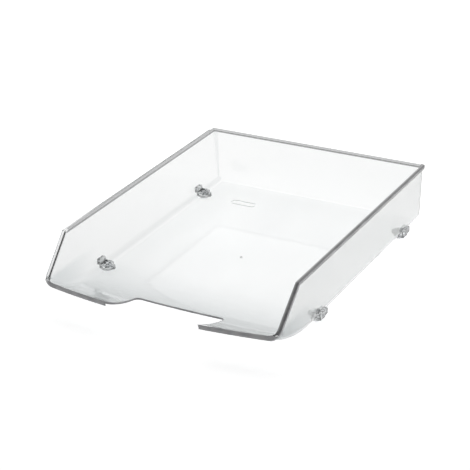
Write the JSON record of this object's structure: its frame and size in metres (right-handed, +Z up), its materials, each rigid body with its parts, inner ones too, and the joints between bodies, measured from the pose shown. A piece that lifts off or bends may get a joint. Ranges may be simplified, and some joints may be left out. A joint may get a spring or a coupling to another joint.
{
  "type": "letter tray",
  "caption": "Clear open letter tray with a turned-out rim, side walls that slope down to a low bowed front lip, a finger cut-out and clip-in stacking feet",
  "frame": {"origin": "centre of the bounding box in plan, on the plane the four feet stand on", "axes": "+X to the right as seen from the open front, +Y towards the closed back wall, +Z up"},
  "size_m": [0.255, 0.3379, 0.065],
  "materials": {
    "clear_tray": "clear, polished",
    "clear_foot": "clear, slightly grey"
  },
  "bodies": {
    "root": {"tray_shell": "clear_tray", "foot_rear_left": "clear_foot", "foot_rear_right": "clear_foot", "foot_front_left": "clear_foot", "foot_front_right": "clear_foot"}
  },
  "joints": []
}
